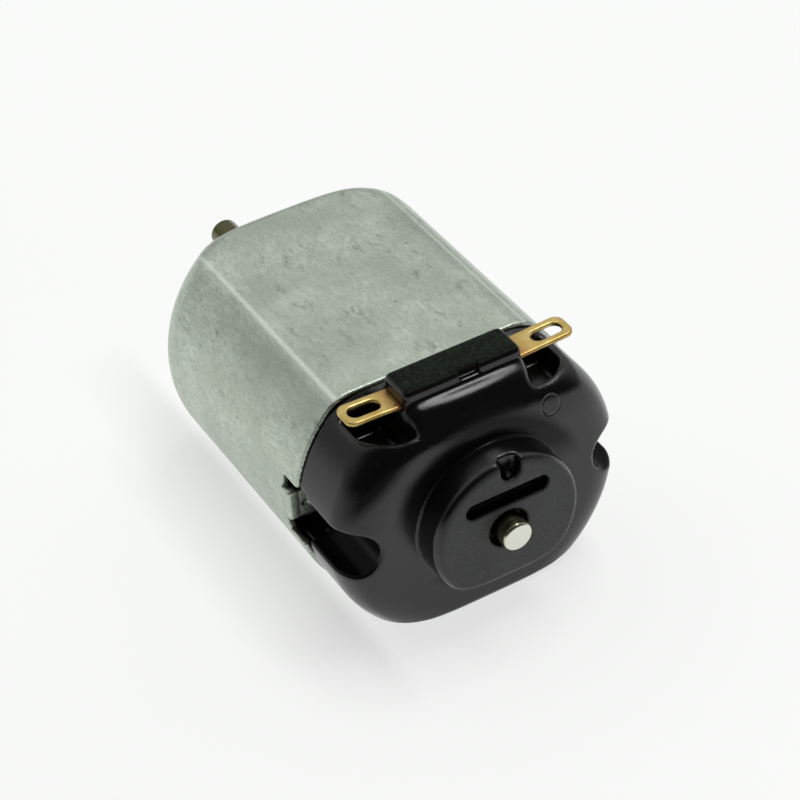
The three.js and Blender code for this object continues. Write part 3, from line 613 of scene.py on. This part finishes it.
class Finish:
    """A node material: short calls add nodes, and lengths are in millimetres."""

    def __init__(self, name):
        self.material = bpy.data.materials.new(name)
        self.material.use_nodes = True
        self.tree = self.material.node_tree
        self.shader = self.tree.nodes["Principled BSDF"]
        place = self.tree.nodes.new("ShaderNodeTexCoord")
        self.place = self.node("ShaderNodeVectorMath", operation="SCALE")
        self.tree.links.new(place.outputs["Object"], self.place.inputs[0])
        self.place.inputs["Scale"].default_value = 1 / MM

    def node(self, kind, **settings):
        made = self.tree.nodes.new(kind)
        for key, value in settings.items():
            setattr(made, key, value)
        return made

    def feed(self, target, value):
        """Links a node's output to an input, or sets a plain value."""
        if hasattr(value, "is_linked"):
            self.tree.links.new(value, target)
        elif isinstance(value, tuple) and len(value) == 3 and target.type == "RGBA":
            target.default_value = (*value, 1)
        else:
            target.default_value = value

    def stretched(self, scale):
        mapping = self.node("ShaderNodeMapping")
        self.tree.links.new(self.place.outputs[0], mapping.inputs["Vector"])
        mapping.inputs["Scale"].default_value = scale
        return mapping.outputs[0]

    def noise(self, scale, detail=4.0, rough=0.5, stretch=(1, 1, 1)):
        made = self.node("ShaderNodeTexNoise")
        self.feed(made.inputs["Vector"], self.stretched(stretch))
        made.inputs["Scale"].default_value = scale
        made.inputs["Detail"].default_value = detail
        made.inputs["Roughness"].default_value = rough
        return made.outputs[0]

    def spots(self, scale):
        made = self.node("ShaderNodeTexVoronoi")
        self.feed(made.inputs["Vector"], self.place.outputs[0])
        made.inputs["Scale"].default_value = scale
        return made.outputs["Distance"]

    def range(self, value, low, high, to_low=0.0, to_high=1.0):
        made = self.node("ShaderNodeMapRange")
        self.feed(made.inputs["Value"], value)
        limits = {"From Min": low, "From Max": high, "To Min": to_low, "To Max": to_high}
        for key, number in limits.items():
            made.inputs[key].default_value = number
        return made.outputs[0]

    def math(self, operation, first, second=0.0):
        made = self.node("ShaderNodeMath", operation=operation)
        self.feed(made.inputs[0], first)
        self.feed(made.inputs[1], second)
        return made.outputs[0]

    def times(self, first, *others):
        """The product of all the values."""
        for other in others:
            first = self.math("MULTIPLY", first, other)
        return first

    def highest(self, first, *others):
        """The highest of the values."""
        for other in others:
            first = self.math("MAXIMUM", first, other)
        return first

    def mix(self, share, first, second):
        made = self.node("ShaderNodeMix", data_type="RGBA")
        self.feed(made.inputs["Factor"], share)
        self.feed(made.inputs["A"], first)
        self.feed(made.inputs["B"], second)
        return made.outputs["Result"]

    def axis(self, index):
        made = self.node("ShaderNodeSeparateXYZ")
        self.feed(made.inputs[0], self.place.outputs[0])
        return made.outputs[index]

    def away(self, x, z):
        """Distance across from a line along the motor, or from its mirror image."""
        aside = self.math("SUBTRACT", self.math("ABSOLUTE", self.axis(0)), x)
        above = self.math("SUBTRACT", self.axis(2), z)
        squares = self.math("ADD", self.times(aside, aside), self.times(above, above))
        return self.math("SQRT", squares)

    def bump(self, height, depth, below=None):
        made = self.node("ShaderNodeBump")
        made.inputs["Strength"].default_value = 1.0
        made.inputs["Distance"].default_value = depth * MM
        self.feed(made.inputs["Height"], height)
        if below is not None:
            self.feed(made.inputs["Normal"], below)
        return made.outputs[0]

    def finish(self, colour, roughness, metallic, normal=None, **more):
        self.feed(self.shader.inputs["Base Color"], colour)
        self.feed(self.shader.inputs["Roughness"], roughness)
        self.feed(self.shader.inputs["Metallic"], metallic)
        if normal is not None:
            self.feed(self.shader.inputs["Normal"], normal)
        for key, value in more.items():
            self.feed(self.shader.inputs[key.replace("_", " ")], value)
        return self.material


def plated_steel():
    """Dull zinc plate: satin grain drawn along the can, cloudy patches, pits, dark specks and a painted
    highlight along the creases.
    """
    f = Finish("plated_steel")
    cloud = f.noise(0.3, 4, 0.6)
    grain = f.noise(5.0, 5, 0.75, (1, 0.35, 1))
    fine = f.noise(14.0, 3, 0.6)
    scuffs = f.range(f.noise(0.9, 8, 0.8, (1, 0.5, 1)), 0.56, 0.64)
    specks = f.range(f.spots(0.55), 0.03, 0.085, 1.0, 0.0)
    colour = f.mix(f.range(cloud, 0.38, 0.62), (0.41, 0.47, 0.39), (0.57, 0.64, 0.55))
    colour = f.mix(f.range(grain, 0.38, 0.62, 0.0, 0.8), colour, (0.36, 0.41, 0.34))
    colour = f.mix(f.range(fine, 0.45, 0.7, 0.0, 0.35), colour, (0.74, 0.8, 0.72))
    colour = f.mix(f.times(scuffs, 0.6), colour, (0.2, 0.23, 0.19))
    colour = f.mix(f.times(specks, f.range(cloud, 0.42, 0.55)), colour, (0.1, 0.1, 0.09))
    # A painted highlight: lighter colour along the creases between the flats and the round sides, streaked
    # by the grain.
    from_crease = f.math("ABSOLUTE", f.math("SUBTRACT", f.math("ABSOLUTE", f.axis(0)), CREASE_X))
    from_axis = f.math("ABSOLUTE", f.math("SUBTRACT", f.axis(2), AXIS / MM))
    on_crease = f.times(f.range(from_crease, 0.02, 0.22, 1.0, 0.0), f.range(from_axis, 6.7, 7.2))
    painted_crease_highlight = f.times(on_crease, f.range(grain, 0.3, 0.6, 0.3, 1.0))
    colour = f.mix(f.times(painted_crease_highlight, 0.75), colour, (0.86, 0.92, 0.84))
    rough = f.math("ADD", f.range(grain, 0.3, 0.7, 0.26, 0.4), f.range(cloud, 0.3, 0.7, -0.04, 0.04))
    normal = f.bump(f.math("ADD", grain, f.times(fine, 0.5)), 0.03)
    return f.finish(colour, rough, 1.0, normal)


def channel_mask(f, back):
    """1 on the walls of the two side channels."""
    from_channel = f.away(CHANNEL_X, CHANNEL_Z + AXIS / MM)
    near = f.range(from_channel, CHANNEL_RADIUS + 0.2, CHANNEL_RADIUS)
    return f.times(near, f.range(back, BELL_FACE + 0.1, BELL_FACE + 0.6))


def boss_recess_mask(f, back, on_boss, from_axis):
    """1 inside the boss's slot, its gate notch and the shaft's hole."""
    below_face = f.math("SUBTRACT", 1.0, on_boss)
    above_bell = f.range(back, BELL_FACE - 0.3, BELL_FACE - 0.2, 1.0, 0.0)
    return f.times(f.range(from_axis, 4.4, 4.8, 1.0, 0.0), below_face, above_bell)


def painted_shade_face_mask(f, back, height, from_axis):
    """1 where painted shade lowers the bell face's shine: round the boss, below it and in the upper left
    corner.
    """
    round_boss = f.times(f.range(from_axis, 6.2, 6.9, 0.8, 0.0), f.range(height, 1.0, 3.0))
    below_boss = f.times(f.range(from_axis, 5.2, 6.0, 0.55, 0.0), f.range(height, -3.6, -4.0))
    diagonal = f.math("SUBTRACT", f.times(height, 0.77), f.times(f.axis(0), 0.64))
    upper_left = f.times(f.range(diagonal, 7.6, 8.3), f.range(f.axis(0), -3.6, -4.8))
    upper_left = f.times(upper_left, f.range(from_axis, 9.3, 9.8, 1.0, 0.3))
    on_bell = f.range(back, BELL_FACE - 0.3, BELL_FACE - 0.2)
    return f.times(f.highest(round_boss, upper_left, below_boss), on_bell)


def ejector_groove(f):
    """The fine ring that the ejector pin leaves on the bell's right side."""
    from_centre = f.away(EJECTOR_X, EJECTOR_Z + AXIS / MM)
    ring = f.math("ABSOLUTE", f.math("SUBTRACT", from_centre, EJECTOR_RADIUS))
    return f.times(f.range(ring, 0.0, 0.08, -1.0, 0.0), f.range(f.axis(0), 0.0, 1.0))


def black_plastic():
    """Glossy moulded plastic, with a matte eroded grain on the boss's face and the block's top, and
    painted shade that lowers its shine in the channels, the boss's recesses and bands of the bell's face.
    """
    f = Finish("black_plastic")
    height = f.math("SUBTRACT", f.axis(2), AXIS / MM)
    back = f.math("SUBTRACT", f.axis(1), RIM / MM)
    on_boss = f.range(back, BOSS_FACE + 0.2, BOSS_FACE + 0.06)
    on_block = f.range(height, BLOCK_TOP - 0.16, BLOCK_TOP - 0.04)
    matte = f.highest(on_boss, on_block)
    grain = f.noise(7.0, 4, 0.7)
    ripple = f.noise(0.5, 2, 0.4)
    dust = f.range(f.spots(1.6), 0.02, 0.045, 1.0, 0.0)
    powdery = f.times(on_block, f.range(f.noise(3.5, 5, 0.8), 0.45, 0.62))
    colour = f.mix(f.times(matte, on_boss), (0.006, 0.0065, 0.006), (0.042, 0.046, 0.043))
    colour = f.mix(f.times(on_boss, f.range(grain, 0.4, 0.6)), colour, (0.026, 0.029, 0.027))
    colour = f.mix(f.times(powdery, 0.7), colour, (0.022, 0.045, 0.022))
    colour = f.mix(f.times(dust, 0.35), colour, (0.25, 0.26, 0.25))
    rough = f.math("ADD", f.times(matte, 0.36), f.range(ripple, 0.3, 0.7, 0.1, 0.16))
    waves = f.bump(ripple, 0.01, f.bump(ejector_groove(f), 0.05))
    normal = f.bump(f.times(grain, f.range(matte, 0, 1, 0.2, 1.0)), 0.06, waves)
    from_axis = f.away(0, AXIS / MM)
    # Painted shade: the shine is lowered in the side channels, in the boss's slot, gate notch and shaft
    # hole, and in bands of the bell's face.
    in_channel = channel_mask(f, back)
    in_boss = boss_recess_mask(f, back, on_boss, from_axis)
    painted_shade = f.highest(in_channel, in_boss, painted_shade_face_mask(f, back, height, from_axis))
    # The block's matte top shines less; the painted shade takes shine off the recesses and face bands.
    shine = f.math("SUBTRACT", f.range(on_boss, 0, 1, 0.5, 0.4), f.times(on_block, 0.44))
    shine = f.math("SUBTRACT", shine, f.times(painted_shade, 0.44))
    return f.finish(colour, rough, 0.0, normal, IOR=1.5, Specular_IOR_Level=shine)


def brass():
    """Stamped brass strip: pale satin face, darker tarnish in patches and red-brown at its slots."""
    f = Finish("brass")
    cloud = f.noise(0.9, 4, 0.6)
    lines = f.noise(14.0, 3, 0.5, (0.15, 1, 1))
    colour = f.mix(f.range(cloud, 0.3, 0.7), (0.46, 0.33, 0.09), (0.72, 0.56, 0.23))
    colour = f.mix(f.range(lines, 0.4, 0.8, 0.0, 0.4), colour, (0.42, 0.24, 0.08))
    stained = f.range(f.math("ABSOLUTE", f.axis(0)), BLOCK_HALF_WIDTH + 0.9, BLOCK_HALF_WIDTH)
    stained = f.times(stained, f.range(cloud, 0.4, 0.6, 0.3, 0.9))
    colour = f.mix(stained, colour, (0.3, 0.1, 0.04))
    rough = f.range(cloud, 0.3, 0.7, 0.42, 0.28)
    return f.finish(colour, rough, 1.0, f.bump(lines, 0.01))


def shaft_steel():
    """Ground and polished shaft: fine rings round it, a warm tint, a painted highlight on its rear end
    face and painted shade towards its output end.
    """
    f = Finish("shaft_steel")
    rings = f.noise(16.0, 2, 0.5, (0.02, 1, 0.02))
    cloud = f.noise(0.7, 3, 0.5)
    from_tip = f.math("SUBTRACT", f.axis(1), RIM / MM + SHAFT_REAR)
    colour = f.mix(f.range(cloud, 0.35, 0.65), (0.22, 0.21, 0.11), (0.4, 0.38, 0.24))
    # A painted highlight: the rear end face is much lighter than the shaft's sides.
    colour = f.mix(f.range(from_tip, 0.06, 0.14, 1.0, 0.0), colour, (0.72, 0.72, 0.64))
    # Painted shade: the shaft darkens towards its output end.
    colour = f.mix(f.range(from_tip, 30.0, 33.0), colour, (0.11, 0.105, 0.045))
    rough = f.range(rings, 0.3, 0.7, 0.16, 0.3)
    return f.finish(colour, rough, 1.0, f.bump(rings, 0.006))


def plain_metal(name, dark, light, roughness, grain=8.0):
    """A metal of two close tones with a fine grain."""
    f = Finish(name)
    cloud = f.noise(1.2, 4, 0.6)
    fine = f.noise(grain, 3, 0.6)
    colour = f.mix(f.range(cloud, 0.3, 0.7), dark, light)
    rough = f.range(fine, 0.3, 0.7, roughness - 0.06, roughness + 0.06)
    return f.finish(colour, rough, 1.0, f.bump(fine, 0.01))


def plain_solid(name, dark, light, roughness, grain=8.0):
    """A plastic, fibre or ceramic of two close tones with a fine grain."""
    f = Finish(name)
    cloud = f.noise(1.5, 4, 0.6)
    fine = f.noise(grain, 4, 0.6)
    colour = f.mix(f.range(cloud, 0.3, 0.7), dark, light)
    rough = f.range(fine, 0.3, 0.7, roughness - 0.06, roughness + 0.06)
    return f.finish(colour, rough, 0.0, f.bump(fine, 0.015))


def magnet_wire():
    """Enamelled copper wire wound round the poles: close parallel turns."""
    f = Finish("magnet_wire")
    wave = f.node("ShaderNodeTexWave", wave_type="BANDS", bands_direction="Y")
    f.feed(wave.inputs["Vector"], f.place.outputs[0])
    wave.inputs["Scale"].default_value = 1.2
    wave.inputs["Distortion"].default_value = 0.4
    turns = wave.outputs["Fac"]
    colour = f.mix(turns, (0.22, 0.07, 0.02), (0.72, 0.3, 0.1))
    return f.finish(colour, f.range(turns, 0, 1, 0.4, 0.22), 0.85, f.bump(turns, 0.06))


def paper():
    """White paper with a soft glow, lowered in a band along the motor's left side as a painted shadow."""
    f = Finish("paper")
    fine = f.noise(2.0, 4, 0.6)
    patches = f.range(f.noise(0.01, 2, 0.5), 0.3, 0.7)
    colour = f.mix(patches, (0.3, 0.305, 0.3), (0.32, 0.325, 0.32))
    glow = (0.94, 0.95, 0.94)
    across, along = f.axis(0), f.math("ABSOLUTE", f.axis(1))
    # A painted shadow: less glow in a band along the motor's left side.
    painted_shadow_left = f.times(f.range(across, -13, -9), f.range(across, -8.5, -7.5, 1.0, 0.0))
    painted_shadow_left = f.times(painted_shadow_left, f.range(along, 12, 22, 1.0, 0.0))
    strength = f.math("SUBTRACT", FLOOR_GLOW, f.times(painted_shadow_left, FLOOR_PAINTED_SHADOW))
    return f.finish(colour, 0.85, 0.0, f.bump(fine, 0.01), Emission_Color=glow, Emission_Strength=strength)


def hidden_finishes():
    """The materials of the pieces inside the motor, by the record's material slots."""
    return {
        "ferrite": plain_solid("ferrite", (0.03, 0.03, 0.032), (0.06, 0.06, 0.063), 0.7),
        "spring_steel": plain_metal("spring_steel", (0.42, 0.43, 0.45), (0.6, 0.61, 0.63), 0.32),
        "spring_copper": plain_metal("spring_copper", (0.6, 0.27, 0.12), (0.8, 0.42, 0.22), 0.28),
        "carbon": plain_solid("carbon", (0.02, 0.02, 0.02), (0.05, 0.048, 0.047), 0.6),
        "silicon_steel": plain_metal("silicon_steel", (0.25, 0.26, 0.28), (0.42, 0.43, 0.45), 0.42),
        "red_fibre": plain_solid("red_fibre", (0.2, 0.03, 0.02), (0.34, 0.07, 0.04), 0.7),
        "magnet_wire": magnet_wire(),
        "commutator_copper": plain_metal("commutator_copper", (0.55, 0.25, 0.12), (0.78, 0.42, 0.24), 0.3),
        "phenolic": plain_solid("phenolic", (0.05, 0.02, 0.012), (0.09, 0.035, 0.02), 0.4),
        "nylon": plain_solid("nylon", (0.7, 0.68, 0.62), (0.8, 0.78, 0.72), 0.5),
    }


def paint_hidden_nodes():
    """Gives each CAD node that is shown as it is the material of its slot."""
    finishes = hidden_finishes()
    for part in frame["record"]["subparts"]:
        finish = finishes.get(part["material_slot"])
        if finish is None:
            continue
        node = frame["nodes"][part["node"]]
        if not node.material_slots:
            node.data.materials.append(None)
        for place in node.material_slots:
            place.material = finish


# Pieces

steel = plated_steel()
plastic = black_plastic()
strip = brass()
bright = shaft_steel()
bronze = plain_metal("sintered_bronze", (0.1, 0.07, 0.035), (0.2, 0.14, 0.08), 0.55)

moulded("can_shell", can_field, *CAN_SPACE, steel, "plated_steel", "can")
moulded("bell_moulding", bell_field, *BELL_SPACE, plastic, "black_plastic", "end_bell")
terminal("tab_right", 1, TIP_RIGHT, strip, "terminal_right")
terminal("tab_left", -1, TIP_LEFT, strip, "terminal_left")

rod_profile = rounded_rod_profile(SHAFT_RADIUS, SHAFT_REAR, SHAFT_FRONT, SHAFT_EDGE)
turned("shaft_ground", rod_profile, bright, "rotor", "shaft")

for node in ("front_bearing", "rear_bearing"):
    low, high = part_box(node)
    rear, front = (low.y - RIM) / MM, (high.y - RIM) / MM
    outer = (high.x - low.x) / 2 / MM
    profile = sleeve_profile(BEARING_BORE, outer, rear, front, BEARING_EDGE)
    turned(f"{node}_sleeve", profile, bronze, "housing", node)

paint_hidden_nodes()

# Floor, light and camera


def floor():
    """A wide flat sheet of paper under the motor."""
    reach = FLOOR_REACH
    mesh = bpy.data.meshes.new("floor")
    corners = [(-reach, -reach, 0), (reach, -reach, 0), (reach, reach, 0), (-reach, reach, 0)]
    mesh.from_pydata(corners, [], [(0, 1, 2, 3)])
    mesh.materials.append(paper())
    sheet = bpy.data.objects.new("floor", mesh)
    sheet.location.z = cad_low.z
    bpy.context.scene.collection.objects.link(sheet)
    sheet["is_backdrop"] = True


def soft_light(name, place, size, power):
    """An oval area lamp aimed at the motor."""
    data = bpy.data.lights.new(name, "AREA")
    data.shape = "ELLIPSE"
    data.size, data.size_y = size
    data.energy = power
    light = bpy.data.objects.new(name, data)
    light.location = place
    light.rotation_mode = "QUATERNION"
    light.rotation_quaternion = (Vector(LAMP_AIM) - Vector(place)).to_track_quat("-Z", "Y")
    bpy.context.scene.collection.objects.link(light)


def surroundings():
    """A light tent: a wall past the output end, brighter higher up, and dark behind the end bell."""
    world = bpy.data.worlds.new("tent")
    bpy.context.scene.world = world
    world.use_nodes = True
    nodes, links = world.node_tree.nodes, world.node_tree.links
    place = nodes.new("ShaderNodeTexCoord")
    along = nodes.new("ShaderNodeVectorMath")
    along.operation = "DOT_PRODUCT"
    along.inputs[1].default_value = TENT_WALL
    ramp = nodes.new("ShaderNodeMapRange")
    ramp.interpolation_type = "SMOOTHSTEP"
    ramp.inputs["From Min"].default_value = -TENT_EDGE
    ramp.inputs["From Max"].default_value = TENT_EDGE
    ramp.inputs["To Min"].default_value = TENT_DARK
    ramp.inputs["To Max"].default_value = TENT_BRIGHT
    links.new(place.outputs["Generated"], along.inputs[0])
    links.new(along.outputs["Value"], ramp.inputs["Value"])
    split = nodes.new("ShaderNodeSeparateXYZ")
    links.new(place.outputs["Generated"], split.inputs[0])
    height = nodes.new("ShaderNodeMapRange")
    height.inputs["From Max"].default_value = TENT_TOP
    height.inputs["To Min"].default_value = TENT_LOW_SHARE
    height.inputs["To Max"].default_value = TENT_HIGH_SHARE
    links.new(split.outputs[2], height.inputs["Value"])
    strength = nodes.new("ShaderNodeMath")
    strength.operation = "MULTIPLY"
    links.new(ramp.outputs[0], strength.inputs[0])
    links.new(height.outputs[0], strength.inputs[1])
    links.new(strength.outputs[0], nodes["Background"].inputs["Strength"])
    nodes["Background"].inputs["Color"].default_value = (1, 1, 1, 1)


def camera():
    """Looks down on the end bell from the left, with the motor's axis running away up and left."""
    aim = Vector((0, RIM + CAMERA_AIM_Y * MM, AXIS))
    azimuth, elevation = CAMERA_AZIMUTH, CAMERA_ELEVATION
    back = Vector(
        (
            math.sin(azimuth) * math.cos(elevation),
            -math.cos(azimuth) * math.cos(elevation),
            math.sin(elevation),
        )
    )
    right = Vector((math.cos(azimuth), math.sin(azimuth), 0))
    up = back.cross(right)
    rolled_right = right * math.cos(CAMERA_ROLL) + up * math.sin(CAMERA_ROLL)
    rolled_up = up * math.cos(CAMERA_ROLL) - right * math.sin(CAMERA_ROLL)
    data = bpy.data.cameras.new("camera")
    data.lens = CAMERA_LENS
    data.sensor_width = 36
    data.clip_start, data.clip_end = 0.01, 10
    eye = bpy.data.objects.new("camera", data)
    turn = Matrix((rolled_right, rolled_up, back)).transposed().to_4x4()
    place = aim + back * CAMERA_DISTANCE + rolled_right * CAMERA_ASIDE + rolled_up * CAMERA_ABOVE
    eye.matrix_world = Matrix.Translation(place) @ turn
    bpy.context.scene.collection.objects.link(eye)
    bpy.context.scene.camera = eye


floor()
surroundings()
soft_light("overhead", OVERHEAD_PLACE, OVERHEAD_SIZE, OVERHEAD_POWER)
soft_light("crease", CREASE_PLACE, CREASE_SIZE, CREASE_POWER)
camera()
bpy.context.scene.view_settings.view_transform = "Standard"

low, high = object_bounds()
